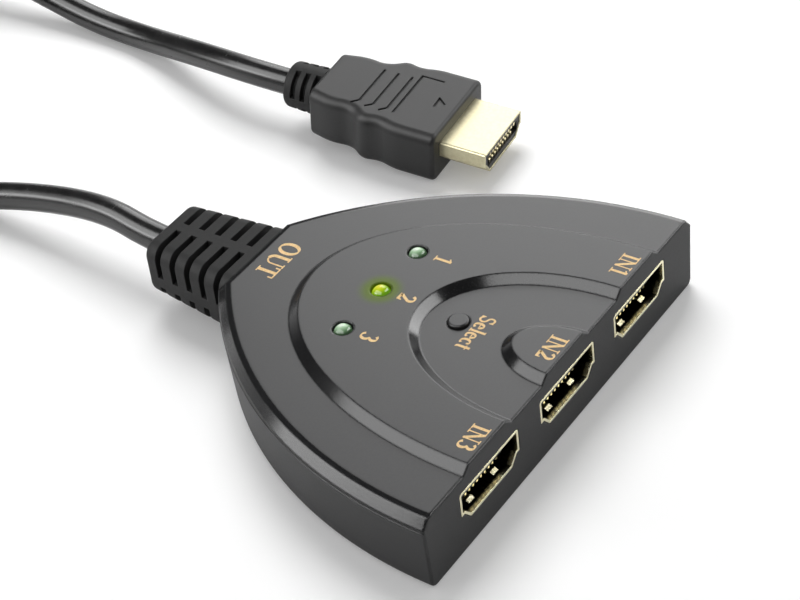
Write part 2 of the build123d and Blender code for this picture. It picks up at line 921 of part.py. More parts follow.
def plug_contact_rows():
    """Spring blades sunk in the upper and lower walls of the plug's slot; the upper ones end flush."""
    blades = []
    rows = ((1, contact_count, plug_liner_setback), (-1, contact_count - 1, plug_contact_setback))
    for side, count, setback in rows:
        blade = Box(
            plug_blade_width,
            plug_slot_depth - setback,
            plug_blade_height,
            align=(Align.CENTER, Align.MIN, Align.MIN if side > 0 else Align.MAX),
        )
        z = plug_thickness / 2 + side * (plug_slot_height / 2 - 2 * contact_thickness)
        for index in range(count):
            x = (index - (count - 1) / 2) * contact_pitch
            blades.append(Pos(x, -plug_shell_length + setback, z) * blade)
    return blades


def plug_contacts():
    return plug_place() * Compound(children=plug_contact_rows())


def plug_liner():
    """Insulating block that fills the shell, with the slot that takes a socket's tongue."""
    start = -plug_shell_length + plug_liner_setback
    length = plug_shell_length - plug_liner_setback + plug_shell_root
    liner = plug_tube(plug_shell_face(-plug_shell_sheet), start, length)
    slot = Box(
        plug_slot_width,
        plug_slot_depth + overrun,
        plug_slot_height,
        align=(Align.CENTER, Align.MIN, Align.CENTER),
    )
    liner -= Pos(0, -plug_shell_length - overrun, plug_thickness / 2) * slot
    for blade in plug_contact_rows():
        liner -= blade
    return plug_place() * liner


def plug_boot():
    """Round strain relief behind the grip: rings cut by slots between three bridges."""
    outline = Polyline(
        (0, 0),
        (plug_boot_root_radius, 0),
        (plug_boot_tip_radius, plug_boot_length),
        (0, plug_boot_length),
        close=True,
    )
    face = make_face(outline)
    rim = face.vertices().filter_by(lambda corner: corner.X > 0).sort_by(Axis.Y)[-1]
    boot = revolve(fillet(rim, plug_boot_edge), Axis.Y)
    for index in range(plug_ring_count):
        low = plug_ring_start + index * plug_ring_pitch - plug_ring_width / 2
        plane = Plane(origin=(0, low, 0), x_dir=(-1, 0, 0), z_dir=(0, 1, 0))
        hole = Circle(plug_boot_tip_radius - plug_ring_depth)
        slot = extrude(plane * (Circle(plug_thickness) - hole), amount=plug_ring_width)
        slot -= Box(plug_ring_bridge, 2 * plug_length, 2 * plug_thickness)
        slot -= Pos(0, 0, -plug_side_drop) * Box(plug_width, 2 * plug_length, plug_side_bridge)
        boot -= slot
    return plug_place() * Pos(0, plug_length, plug_thickness / 2) * boot


def corner_radii(points):
    """The largest arcs that the runs on both sides of each corner allow."""
    radii = []
    for before, corner, after in zip(points, points[1:], points[2:]):
        run_in = Vector(corner) - Vector(before)
        run_out = Vector(after) - Vector(corner)
        shorter = min(run_in.length, run_out.length)
        half_turn = radians(run_in.get_angle(run_out) / 2)
        radii.append(arc_share * shorter / tan(half_turn))
    return radii


def cord_tube(points):
    """Cord along straight runs and tangent arcs."""
    radii = corner_radii(points)
    path = FilletPolyline(*points, radius=radii)
    section = Plane(origin=path @ 0, z_dir=path % 0) * Circle(cord_radius)
    tube = sweep(section, path=path)
    expected = pi * cord_radius**2 * path.length
    print("cord length", round(path.length, 1), "volume ratio", round(tube.volume / expected, 4))
    print("arc radii", [round(radius) for radius in radii])
    return tube


def coil_path():
    """Two layers of spiral turns, in on the table and out again on top, with straight ends.

    Each flat half turn is one arc; the half turn that climbs is a pair of arcs."""
    low = cord_radius
    high = cord_radius + coil_layer
    outer = coil_radius
    middle = coil_radius - turn_step / 2
    inner = coil_radius - turn_step

    def half_turn(start, end, side, level):
        """Arc about the coil from one side to the other; side 1 passes behind, -1 in front."""
        first = (coil_x - side * start, coil_y, level)
        last = (coil_x + side * end, coil_y, level)
        reach = side * (start + end) / 2
        return ThreePointArc(first, ((first[0] + last[0]) / 2, coil_y + reach, level), last)

    start = Vector(coil_x - inner, coil_y, low)
    end = Vector(coil_x + inner, coil_y, high)
    reach = Vector(0, (end - start).length / 2, 0)
    joint = ((start + reach) + (end + reach)) * 0.5
    edges = [
        Line((coil_x - outer, coil_y - cord_diameter, low), (coil_x - outer, coil_y, low)),
        half_turn(outer, middle, 1, low),
        half_turn(middle, inner, -1, low),
        TangentArc(start, joint, tangent=(0, 1, 0)),
        TangentArc(joint, end, tangent=end - start),
        half_turn(inner, middle, -1, high),
        half_turn(middle, outer, 1, high),
        Line((coil_x + outer, coil_y, high), (coil_x + outer, coil_y - cord_diameter, high)),
    ]
    return Wire(edges)


def least_gap(path, count):
    """Smallest clear distance between stretches of the coil that aren't neighbours along it."""
    points = [path.position_at(index / count) for index in range(count + 1)]
    skip = int(count * 3 * cord_diameter / path.length)
    nearest = coil_radius
    for first in range(len(points)):
        for second in range(first + skip, len(points)):
            nearest = min(nearest, (points[first] - points[second]).length)
    return nearest - cord_diameter


def cord_coil():
    path = coil_path()
    section = Plane(origin=path @ 0, z_dir=path % 0) * Circle(cord_radius)
    coil = sweep(section, path=path)
    expected = pi * cord_radius**2 * path.length
    print("coil length", round(path.length, 1), "volume ratio", round(coil.volume / expected, 4))
    print("coil least gap", round(least_gap(path, gap_points), 3))
    return coil


def cord_out():
    entry = (coil_x - coil_radius, coil_y - cord_diameter, cord_radius)
    return cord_tube([(0, boot_tip_y, cord_height), *route_out, entry])


def cord_back():
    exit_point = (coil_x + coil_radius, coil_y - cord_diameter, cord_radius + coil_layer)
    tip = plug_place() * Pos(0, plug_length + plug_boot_length, plug_thickness / 2)
    lead = tip * Pos(0, cord_lead, 0)
    return cord_tube([exit_point, *route_back, tuple(lead.position), tuple(tip.position)])


def write_parts():
    shell = case_shell()
    outside = case_form(0, front_y)
    made = {"top_case": top_case(shell), "bottom_case": bottom_case(shell), "main_board": main_board()}
    for index, x in enumerate(across(port_pitch), 1):
        made["receptacle_shell_" + str(index)] = receptacle_shell(x)
        made["receptacle_insulator_" + str(index)] = receptacle_insulator(x)
        made["receptacle_contacts_" + str(index)] = contact_rows(x)
    for index, x in enumerate(across(led_pitch), 1):
        made["led_lens_" + str(index)] = led_lens(x)
        made["led_leads_" + str(index)] = led_leads(x)
    made["button_cap"] = button_cap()
    made["tact_plunger"] = tact_plunger()
    made["tact_body"] = tact_body()
    made["tact_cover"] = tact_cover()
    made["tact_dome"] = tact_dome()
    made["tact_terminals"] = tact_terminals()
    made["switch_chip"] = switch_chip()
    made["chip_pins"] = chip_pins()
    made["resistors"] = resistors()
    made["capacitors"] = capacitors()
    made["case_screws"] = case_screws()
    made["cable_boot"] = cable_boot(outside)
    made["cable_end"] = cable_end()
    made["cable_cores"] = cable_cores()
    made["cord_out"] = cord_out()
    made["cord_coil"] = cord_coil()
    made["cord_back"] = cord_back()
    made["plug_boot"] = plug_boot()
    made["plug_grip"] = plug_grip()
    made["plug_shell"] = plug_shell()
    made["plug_liner"] = plug_liner()
    made["plug_contacts"] = plug_contacts()
    for name, solid in made.items():
        export_step(solid, "parts/" + name + ".step")
        print(name, round(solid.volume, 3))


write_parts()
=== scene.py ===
# %% [markdown]
# A small box that switches one of three video sources to a captive cable with
# a plug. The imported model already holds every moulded, pressed and turned
# piece at its real size, so this file dresses it: it lays the cable as one
# smooth curve, adds the small things that repeat, prints the words, and gives
# each surface a finish that is made from nodes alone. Every length here is in
# metres, written as a number of millimetres times mm.

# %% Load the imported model
from math import cos, hypot, pi, radians, sin
import bmesh
import bpy
from mathutils import Matrix, Vector


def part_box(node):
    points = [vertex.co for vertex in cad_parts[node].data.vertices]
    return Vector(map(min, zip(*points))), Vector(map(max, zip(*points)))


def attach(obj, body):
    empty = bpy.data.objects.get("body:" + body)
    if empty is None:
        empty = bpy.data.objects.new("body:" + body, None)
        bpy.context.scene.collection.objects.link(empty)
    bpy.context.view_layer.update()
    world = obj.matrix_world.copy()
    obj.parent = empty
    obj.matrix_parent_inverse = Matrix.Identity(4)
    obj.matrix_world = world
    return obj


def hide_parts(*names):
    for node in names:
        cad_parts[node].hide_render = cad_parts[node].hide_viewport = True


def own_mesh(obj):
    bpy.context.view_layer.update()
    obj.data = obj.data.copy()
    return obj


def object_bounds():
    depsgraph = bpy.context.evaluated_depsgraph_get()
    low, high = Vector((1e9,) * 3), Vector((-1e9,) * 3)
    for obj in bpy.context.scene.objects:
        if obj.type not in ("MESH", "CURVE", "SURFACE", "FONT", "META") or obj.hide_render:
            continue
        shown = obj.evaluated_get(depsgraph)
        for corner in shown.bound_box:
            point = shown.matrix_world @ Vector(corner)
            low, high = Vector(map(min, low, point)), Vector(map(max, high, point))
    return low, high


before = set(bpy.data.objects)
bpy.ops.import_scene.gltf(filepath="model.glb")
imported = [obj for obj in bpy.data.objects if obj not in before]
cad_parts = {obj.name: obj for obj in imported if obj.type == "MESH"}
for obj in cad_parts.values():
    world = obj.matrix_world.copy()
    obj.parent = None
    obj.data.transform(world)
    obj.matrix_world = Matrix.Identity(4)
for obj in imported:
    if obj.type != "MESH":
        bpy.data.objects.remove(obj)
mm = 0.001
cad_low, cad_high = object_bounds()
cad_size = [round(side / mm, 1) for side in cad_high - cad_low]
print("nodes", len(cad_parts), "box in mm", cad_size)

# %% [markdown]
# The sockets and the lamps stand in rows of three, numbered from the right as
# one looks into the sockets. Finishes, solder and labels all need these places,
# so they are written down once.

# %% Rows of three
numbered = (1, 2, 3)
port_pitch = 20.9 * mm
port_places = (port_pitch, 0.0, -port_pitch)
lamp_pitch = 9.9 * mm
lamp_places = (lamp_pitch, 0.0, -lamp_pitch)
lamp_row = 3.5 * mm


def each(name):
    """The names of the three nodes of a row."""
    return ["%s_%d" % (name, index) for index in numbered]


print("lamps", each("led_lens"))

# %% [markdown]
# The photograph looks down at the box over the left end of its front through a
# long lens, so lines that run away from the camera hardly converge. A camera
# in Blender looks along its own -Z. Turning it down from the vertical by its
# elevation, round by its azimuth, and last about its own axis by the tilt of
# the picture keeps the three angles apart, which is easier to check than one
# set of Euler angles.

# %% Camera
camera_place = Vector((-206.17, -163.37, 226.25)) * mm
camera_azimuth = radians(-51.573)
camera_elevation = radians(38.993)
camera_tilt = radians(-7.564)
camera_lens = 103.81

camera_data = bpy.data.cameras.new("camera")
camera_data.lens = camera_lens
camera_data.sensor_width = 36.0
camera_data.clip_start = 10 * mm
camera_data.clip_end = 10.0
camera = bpy.data.objects.new("camera", camera_data)
bpy.context.collection.objects.link(camera)
turned = (
    Matrix.Rotation(camera_azimuth, 4, "Z")
    @ Matrix.Rotation(pi / 2 - camera_elevation, 4, "X")
    @ Matrix.Rotation(camera_tilt, 4, "Z")
)
camera.matrix_world = Matrix.Translation(camera_place) @ turned
bpy.context.scene.camera = camera
print("camera", [round(value / mm, 1) for value in camera_place], "mm, lens", camera_lens)

# %% [markdown]
# Colours are noted as sRGB hex codes, the way a paint chart or a photograph
# gives them, and shaders want them linear. One function turns one into the
# other. A second one adds a node with its settings, values, links and colour
# stops, so that each material below reads as a short list of steps. A third
# one starts a material from a fine random grain that colour, shine and relief
# all follow, because on a real surface they change together.

# %% Colours and nodes
def linear(code):
    """Linear colour with full alpha from an sRGB hex code."""
    values = []
    for place in (0, 2, 4):
        level = int(code[place:place + 2], 16) / 255
        values.append(level / 12.92 if level <= 0.04045 else ((level + 0.055) / 1.055) ** 2.4)
    return (*values, 1.0)


def add(tree, kind, values=None, links=None, stops=(), **settings):
    """Adds a node: its settings, input values, the sockets linked to it and its colour stops."""
    node = tree.nodes.new(kind)
    for name, value in settings.items():
        setattr(node, name, value)
    for name, value in (values or {}).items():
        node.inputs[name].default_value = value
    for name, socket in (links or {}).items():
        tree.links.new(socket, node.inputs[name])
    for index, (place, colour) in enumerate(stops):
        elements = node.color_ramp.elements
        element = elements[index] if index < 2 else elements.new(place)
        element.position = place
        element.color = colour
    return node


def finish(name, colours, size, relief, shine, edge=0.0, **values):
    """A material whose colour, shine and relief follow one random grain.

    colours are its two sRGB tones, size the width of a grain, relief its height, shine the
    least and greatest roughness, and edge the radius that sharp edges seem to have."""
    material = bpy.data.materials.new(name)
    material.use_nodes = True
    tree = material.node_tree
    surface = tree.nodes["Principled BSDF"]
    for key, value in values.items():
        surface.inputs[key.replace("_", " ")].default_value = value
    place = add(tree, "ShaderNodeTexCoord")
    noise = add(
        tree,
        "ShaderNodeTexNoise",
        {"Scale": 1 / size, "Detail": 3.0, "Roughness": 0.6},
        {"Vector": place.outputs["Object"]},
    )
    # Noise hardly ever leaves the middle of its range, so the stops stand there
    stops = [(0.35, linear(colours[0])), (0.65, linear(colours[1]))]
    tone = add(tree, "ShaderNodeValToRGB", links={"Fac": noise.outputs["Fac"]}, stops=stops)
    spread = add(
        tree,
        "ShaderNodeMapRange",
        {"From Min": 0.3, "From Max": 0.7, "To Min": shine[0], "To Max": shine[1]},
        {"Value": noise.outputs["Fac"]},
    )
    bump = add(
        tree,
        "ShaderNodeBump",
        {"Strength": 1.0, "Distance": relief},
        {"Height": noise.outputs["Fac"]},
    )
    if edge:
        rounded = add(tree, "ShaderNodeBevel", {"Radius": edge}, samples=6)
        tree.links.new(rounded.outputs["Normal"], bump.inputs["Normal"])
    tree.links.new(tone.outputs["Color"], surface.inputs["Base Color"])
    tree.links.new(spread.outputs["Result"], surface.inputs["Roughness"])
    tree.links.new(bump.outputs["Normal"], surface.inputs["Normal"])
    print("finish", name)
    return material, tree, surface, place, tone


def paint(material, *nodes):
    """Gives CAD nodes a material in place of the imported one."""
    for node in nodes:
        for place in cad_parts[node].material_slots:
            place.material = material


# %% [markdown]
# The boots, the plug's grip and the jacket are soft PVC, which has an IOR of
# about 1.53. The boots and the grip come out of a matt mould and have only a
# dull shine, and a lower IOR stands for the light that their rough skin
# swallows. The jacket comes smooth out of a die and shines in long stripes, a
# little more than the plain plastic would.

# %% Soft PVC
boot_pvc = finish(
    "moulded_pvc",
    ("0f0f0f", "151515"),
    0.5 * mm,
    0.006 * mm,
    (0.6, 0.7),
    edge=0.2 * mm,
    IOR=1.42,
)[0]
paint(boot_pvc, "cable_boot", "plug_boot")

grip_pvc = finish(
    "matt_grip_pvc",
    ("1c1c1c", "232323"),
    0.4 * mm,
    0.006 * mm,
    (0.42, 0.52),
    edge=0.2 * mm,
    IOR=1.45,
)[0]
paint(grip_pvc, "plug_grip")

jacket_pvc = finish(
    "extruded_pvc", ("191919", "202020"), 2.5 * mm, 0.01 * mm, (0.22, 0.28), IOR=1.58
)[0]
paint(jacket_pvc, "cable_end")

# %% [markdown]
# The cable is a soft PVC lead that leaves the boot level, sinks to the table
# under its own weight and lies there. A bent tube could be swept along straight
# runs and arcs, but that looks like wire. A NURBS spline of order 3 takes the
# points of the route as its control points and rounds every turn smoothly, so
# the points say where the cable goes and the spline says how. Its spare length
# is a coil of two layers. A spline of this kind stays inside its points, so
# those of the coil stand out by the share that brings the line back to the
# real radius.

# %% Cable route
cord_diameter = 4.7 * mm
coil_place = Vector((26.0, 148.0, 0.0)) * mm
coil_radius = 28.3 * mm
turn_step = cord_diameter + 1.5 * mm
layer_step = cord_diameter + 0.5 * mm
steps_per_half_turn = 9
boot_tip = Vector((0.0, 44.0, 8.6)) * mm
out_points = [
    (0.0, 48.0, 8.6),
    (1.8, 59.0, 9.3),
    (2.1, 75.0, 6.3),
    (0.2, 91.0, 2.35),
    (-1.7, 107.5, 2.35),
    (-2.3, 126.0, 2.35),
]
back_points = [
    (54.3, 131.5, 7.55),
    (54.0, 119.0, 4.9),
    (53.3, 105.5, 2.35),
    (52.5, 92.0, 2.35),
    (48.2, 76.0, 6.1),
    (45.60, 61.51, 7.98),
]
plug_tip = Vector((46.44, 54.08, 7.33)) * mm
# At the start of each half turn and at the end of the last: steps inwards, and the layer
half_turn_insets = [0, 0.5, 1, 1, 0.5, 0]
half_turn_layers = [0, 0, 0, 1, 1, 1]
half_turns = len(half_turn_insets) - 1


def coil_points():
    """Points of the coil's half turns: inwards on the table, up, and outwards on top."""
    points = []
    outwards = 1 / cos(pi / steps_per_half_turn / 2)
    for turn in range(half_turns):
        last = turn == half_turns - 1
        for step in range(steps_per_half_turn + last):
            share = step / steps_per_half_turn
            inset = half_turn_insets[turn] * (1 - share) + half_turn_insets[turn + 1] * share
            level = half_turn_layers[turn] * (1 - share) + half_turn_layers[turn + 1] * share
            angle = pi - pi * (turn + share)
            radius = (coil_radius - inset * turn_step) * outwards
            height = cord_diameter / 2 + level * layer_step
            points.append(coil_place + Vector((radius * cos(angle), radius * sin(angle), height)))
    return points


route = [boot_tip, *[Vector(point) * mm for point in out_points]]
route += coil_points()
route += [*[Vector(point) * mm for point in back_points], plug_tip]
print("route", len(route), "points")

# %% [markdown]
# A curve with a round bevel is a tube of one thickness from end to end, which
# is what a die makes. Its material goes on before anything measures the curve,
# because a curve that gets one later is measured by its control points again.

# %% Cable
cord_data = bpy.data.curves.new("output_cord", "CURVE")
cord_data.dimensions = "3D"
cord_data.bevel_depth = cord_diameter / 2
cord_data.bevel_resolution = 6
cord_data.resolution_u = 8
cord_data.use_fill_caps = True
cord_data.materials.append(jacket_pvc)
line = cord_data.splines.new("NURBS")
line.points.add(len(route) - 1)
for point, place in zip(line.points, route):
    point.co = (*place, 1.0)
line.order_u = 3
line.use_endpoint_u = True
cord = bpy.data.objects.new("output_cord", cord_data)
bpy.context.collection.objects.link(cord)
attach(cord, "switch_box")
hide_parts("cord_out", "cord_coil", "cord_back")

# %% [markdown]
# The casing is injection-moulded black ABS. Its mould was spark eroded, which
# leaves a fine, even grain: the base is nearly black, and what turns its top
# mid grey is the broad, soft shine of a light above it. The real grain is about
# 0.1 mm, too fine to show from here, so it is drawn at 0.3 mm. The sloped walls
# of the steps and the bevels were polished in the mould, so they mirror a lamp
# or the dark room sharply, while the level top is satin and the upright sides
# are duller. The three differ by how far their faces look up, so the height of
# the normal chooses the roughness. The mould's edges have a radius of 0.2 to
# 0.3 mm that catches the light as a thin line. A Bevel node bends the normals
# there, which costs no faces. It is set to 0.45 mm, because at this distance the
# true line would hardly be a pixel wide.

# %% Spark-eroded ABS
case_abs, tree, surface, place, _ = finish(
    "spark_eroded_abs",
    ("1a1a1b", "212122"),
    0.3 * mm,
    0.004 * mm,
    (-0.04, 0.04),
    edge=0.45 * mm,
    IOR=1.52,
)
grain_shine = surface.inputs["Roughness"].links[0].from_socket
bump = surface.inputs["Normal"].links[0].from_node
rounded = bump.inputs["Normal"].links[0].from_socket
facing = add(tree, "ShaderNodeSeparateXYZ", links={0: rounded})
# Roughness from each height of the normal on: upright sides, polished slopes, level top
zone_shine = [(0.0, 0.60), (0.3, 0.16), (0.995, 0.34)]
zones = add(
    tree,
    "ShaderNodeValToRGB",
    links={"Fac": facing.outputs["Z"]},
    stops=[(start, (shine, shine, shine, 1.0)) for start, shine in zone_shine],
)
zones.color_ramp.interpolation = "CONSTANT"
rough = add(
    tree, "ShaderNodeMath", links={0: zones.outputs["Color"], 1: grain_shine}, operation="ADD"
)
tree.links.new(rough.outputs["Value"], surface.inputs["Roughness"])
paint(case_abs, "top_case", "bottom_case")

# %% [markdown]
# The lit lamp's light on the plastic round it is painted: a weak yellow-green
# glow and a tint of its shine fade with the distance from its axis. A small
# light in the lamp would do this too, but it would need many more samples to
# come out smooth.

# %% Painted glow round the lit lamp
glow_near, glow_far, glow_strength = 1.6 * mm, 4.2 * mm, 0.12
offset = add(
    tree,
    "ShaderNodeVectorMath",
    {1: (0.0, lamp_row, 0.0)},
    {0: place.outputs["Object"]},
    operation="SUBTRACT",
)
level_offset = add(
    tree,
    "ShaderNodeVectorMath",
    {1: (1.0, 1.0, 0.0)},
    {0: offset.outputs["Vector"]},
    operation="MULTIPLY",
)
distance = add(
    tree, "ShaderNodeVectorMath", links={0: level_offset.outputs["Vector"]}, operation="LENGTH"
)
glow = add(
    tree,
    "ShaderNodeMapRange",
    {"From Min": glow_near, "From Max": glow_far, "To Min": 1.0, "To Max": 0.0},
    {"Value": distance.outputs["Value"]},
    interpolation_type="SMOOTHERSTEP",
)
# Painted light: emission of the casing round the lit lamp
surface.inputs["Emission Color"].default_value = linear("8cb400")
light = add(
    tree, "ShaderNodeMath", {1: glow_strength}, {0: glow.outputs["Result"]}, operation="MULTIPLY"
)
tree.links.new(light.outputs["Value"], surface.inputs["Emission Strength"])
# Painted reflection: the casing's shine is tinted yellow-green near the lit lamp
gloss_tint = add(
    tree,
    "ShaderNodeMix",
    {6: (1, 1, 1, 1), 7: linear("c8f00a")},
    {0: glow.outputs["Result"]},
    data_type="RGBA",
)
tree.links.new(gloss_tint.outputs[2], surface.inputs["Specular Tint"])
print("glow out to", round(glow_far / mm, 1), "mm")

# %% [markdown]
# The button is the same ABS out of a smooth mould, and fingers keep it so.

# %% Smooth ABS
button_abs = finish(
    "smooth_abs",
    ("1b1b1c", "212122"),
    0.5 * mm,
    0.002 * mm,
    (0.32, 0.38),
    edge=0.15 * mm,
    IOR=1.52,
)[0]
paint(button_abs, "button_cap")

# %% [markdown]
# The sockets' and the plug's shells are folded sheet with a flash of pale gold
# over nickel. A metal keeps the default IOR, and its base colour is the colour
# of its shine. The plug's shell is wiped by every use and has a satin shine; the
# sockets' rims are as bright as new. Inside a socket shade is painted: behind
# the mouth the walls are painted a dark bronze, all but the two bent springs
# that press on a plug, which keep their pale gold. Wrapping the place by the
# sockets' pitch lets one material serve them all.

# %% Gold flash of the sockets
spring_reach = 4.2 * mm
spring_low, spring_high = 5.34 * mm, 6.0 * mm
unshaded_until, fully_shaded_from = -27.9 * mm, -27.1 * mm

flash, tree, surface, place, tone = finish(
    "gold_flash",
    ("f0e8c0", "f6f0d2"),
    0.8 * mm,
    0.001 * mm,
    (0.2, 0.28),
    edge=0.12 * mm,
    Metallic=1.0,
)
depth = add(tree, "ShaderNodeSeparateXYZ", links={0: place.outputs["Object"]})
wrapped = add(
    tree,
    "ShaderNodeMath",
    {1: port_pitch / 2, 2: -port_pitch / 2},
    {0: depth.outputs["X"]},
    operation="WRAP",
)
middle = add(tree, "ShaderNodeMath", links={0: wrapped.outputs["Value"]}, operation="ABSOLUTE")
walls = add(
    tree,
    "ShaderNodeMath",
    {1: spring_reach},
    {0: middle.outputs["Value"]},
    operation="GREATER_THAN",
)
for limit, side in ((spring_low, "LESS_THAN"), (spring_high, "GREATER_THAN")):
    past = add(tree, "ShaderNodeMath", {1: limit}, {0: depth.outputs["Z"]}, operation=side)
    walls = add(
        tree,
        "ShaderNodeMath",
        links={0: walls.outputs["Value"], 1: past.outputs["Value"]},
        operation="MAXIMUM",
    )
inwards = add(
    tree,
    "ShaderNodeMapRange",
    {"From Min": unshaded_until, "From Max": fully_shaded_from},
    {"Value": depth.outputs["Y"]},
)
painted_shade_mask = add(
    tree,
    "ShaderNodeMath",
    links={0: inwards.outputs["Result"], 1: walls.outputs["Value"]},
    operation="MULTIPLY",
)
# Painted shade: behind the mouth the walls, but not the springs, are mixed towards dark bronze
gold_with_painted_shade = add(
    tree,
    "ShaderNodeMix",
    {7: linear("2a271b")},
    {0: painted_shade_mask.outputs["Value"], 6: tone.outputs["Color"]},
    data_type="RGBA",
)
tree.links.new(gold_with_painted_shade.outputs[2], surface.inputs["Base Color"])
paint(flash, *each("receptacle_shell"))

# %% Gold of the plug and the contacts
plug_gold = finish(
    "satin_gold_flash",
    ("c2bb9b", "cec8aa"),
    0.6 * mm,
    0.0006 * mm,
    (0.38, 0.44),
    edge=0.15 * mm,
    Metallic=1.0,
)[0]
paint(plug_gold, "plug_shell")

contact_gold = finish(
    "contact_gold", ("eadca8", "f4e9c4"), 0.3 * mm, 0.001 * mm, (0.3, 0.4), Metallic=1.0
)[0]
paint(contact_gold, "plug_contacts", *each("receptacle_contacts"))

# %% [markdown]
# The tongues that carry the contacts are black liquid-crystal polymer, which
# fills thin moulds and stays matt.

# %% Liquid-crystal polymer
carrier = finish(
    "crystal_polymer", ("0e0e0e", "151515"), 0.3 * mm, 0.003 * mm, (0.5, 0.6), IOR=1.6
)[0]
paint(carrier, "plug_liner", *each("receptacle_insulator"))

# %% [markdown]
# The lamps are cast epoxy with an IOR of about 1.52, tinted pale green and
# smooth as glass. Each unlit dome has a painted highlight, nearly white at a
# spot just behind the lamp's axis, and painted shade that turns it deeper green
# towards its edge. The middle one is lit: yellow at the chip and green at its
# edge. Both patterns run with the distance from that spot, and wrapping the
# place by the lamps' pitch gives one material to the outer two.

# %% Lamps
lamp_radius = 1.5 * mm
# How far behind each lamp's axis the painted highlight of the unlit domes and the lit chip's core
# stand
bright_spot_shift = 0.3 * mm
# Each finish: its tones, its own light, what the pattern colours, the pattern and its lamps
epoxies = {
    "tinted_epoxy_painted_highlight": (
        ("3f6650", "4c775f"),
        0.0,
        "Base Color",
        # Painted highlight nearly white in the middle, painted shade darker green towards the rim
        ((0.1, "ecf8e8"), (0.45, "aed2aa"), (0.8, "7ca279"), (0.97, "587855")),
        ("led_lens_1", "led_lens_3"),
    ),
    "lit_epoxy": (
        ("34500a", "3e5c0e"),
        0.8,
        "Emission Color",
        ((0.15, "f2e646"), (0.5, "c0d41e"), (0.8, "82ac1a"), (0.97, "5c8c16")),
        ("led_lens_2",),
    ),
}
for name, (colours, light, coloured, pattern, nodes) in epoxies.items():
    epoxy, tree, surface, place, _ = finish(
        name, colours, 0.8 * mm, 0.001 * mm, (0.06, 0.12), IOR=1.52, Emission_Strength=light
    )
    from_box = add(tree, "ShaderNodeSeparateXYZ", links={0: place.outputs["Object"]})
    sideways = add(
        tree,
        "ShaderNodeMath",
        {1: lamp_pitch / 2, 2: -lamp_pitch / 2},
        {0: from_box.outputs["X"]},
        operation="WRAP",
    )
    lengthways = add(
        tree,
        "ShaderNodeMath",
        {1: lamp_row + bright_spot_shift},
        {0: from_box.outputs["Y"]},
        operation="SUBTRACT",
    )
    on_lamp = add(
        tree,
        "ShaderNodeCombineXYZ",
        links={"X": sideways.outputs["Value"], "Y": lengthways.outputs["Value"]},
    )
    distance = add(
        tree, "ShaderNodeVectorMath", links={0: on_lamp.outputs["Vector"]}, operation="LENGTH"
    )
    share = add(
        tree,
        "ShaderNodeMapRange",
        {"From Min": 0.0, "From Max": lamp_radius},
        {"Value": distance.outputs["Value"]},
    )
    rings = add(
        tree,
        "ShaderNodeValToRGB",
        links={"Fac": share.outputs["Result"]},
        stops=[(start, linear(code)) for start, code in pattern],
    )
    tree.links.new(rings.outputs["Color"], surface.inputs[coloured])
    paint(epoxy, *nodes)

# %% [markdown]
# Inside, the board is glass-fibre laminate under a green solder mask. Copper
# tracks lie under the mask and show through as lighter lines, about 0.3 mm
# wide in the real one. A brick pattern with wide, low bricks gives lines that
# run and turn square like tracks.

# %% Solder mask
mask, tree, surface, place, tone = finish(
    "solder_mask", ("15402a", "1a4a31"), 1.0 * mm, 0.002 * mm, (0.22, 0.32), IOR=1.52
)
track_sizes = {
    "Scale": 1.0,
    "Mortar Size": 0.16 * mm,
    "Mortar Smooth": 0.2,
    "Brick Width": 3.4 * mm,
    "Row Height": 0.9 * mm,
}
tracks = add(
    tree,
    "ShaderNodeTexBrick",
    {**track_sizes, "Mortar": linear("2b6b46")},
    {
        "Vector": place.outputs["Object"],
        "Color1": tone.outputs["Color"],
        "Color2": tone.outputs["Color"],
    },
)
tree.links.new(tracks.outputs["Color"], surface.inputs["Base Color"])
paint(mask, "main_board")

# %% [markdown]
# The small parts on the board: an epoxy chip as matt as slate, tinned copper
# leads, glass-black resistors and tan ceramic capacitors with bright tinned
# ends. A chip resistor or capacitor has its caps on the two ends of its length,
# so the faces that look along Y are tin and the others ceramic.

# %% Board parts
chip_epoxy = finish(
    "moulding_compound", ("161617", "202021"), 0.25 * mm, 0.004 * mm, (0.55, 0.7), IOR=1.55
)[0]
paint(chip_epoxy, "switch_chip")
tin = finish(
    "tinned_copper", ("a9abad", "c3c5c6"), 0.6 * mm, 0.004 * mm, (0.28, 0.42), Metallic=1.0
)[0]
paint(tin, "chip_pins", "tact_terminals", *each("led_leads"))
for name, colours, node in (
    ("resistor_glaze", ("101012", "18181b"), "resistors"),
    ("capacitor_ceramic", ("a1845c", "b39770"), "capacitors"),
):
    ceramic, tree, surface, place, tone = finish(
        name, colours, 0.4 * mm, 0.003 * mm, (0.3, 0.45), IOR=1.6
    )
    geometry = add(tree, "ShaderNodeNewGeometry")
    along = add(tree, "ShaderNodeSeparateXYZ", links={0: geometry.outputs["Normal"]})
    facing = add(tree, "ShaderNodeMath", links={0: along.outputs["Y"]}, operation="ABSOLUTE")
    cap = add(
        tree, "ShaderNodeMath", {1: 0.5}, {0: facing.outputs["Value"]}, operation="GREATER_THAN"
    )
    ends = add(
        tree,
        "ShaderNodeMix",
        {7: linear("b9bbbd")},
        {0: cap.outputs["Value"], 6: tone.outputs["Color"]},
        data_type="RGBA",
    )
    tree.links.new(ends.outputs[2], surface.inputs["Base Color"])
    tree.links.new(cap.outputs["Value"], surface.inputs["Metallic"])
    paint(ceramic, node)

# %% [markdown]
# The switch under the button has a black nylon body and plunger, a stamped
# stainless cover and a snap dome of the same sheet. The casing screws are
# zinc-plated steel. The cable's cores are PVC in the colours that tell its
# wires apart, here by their place across the cable.

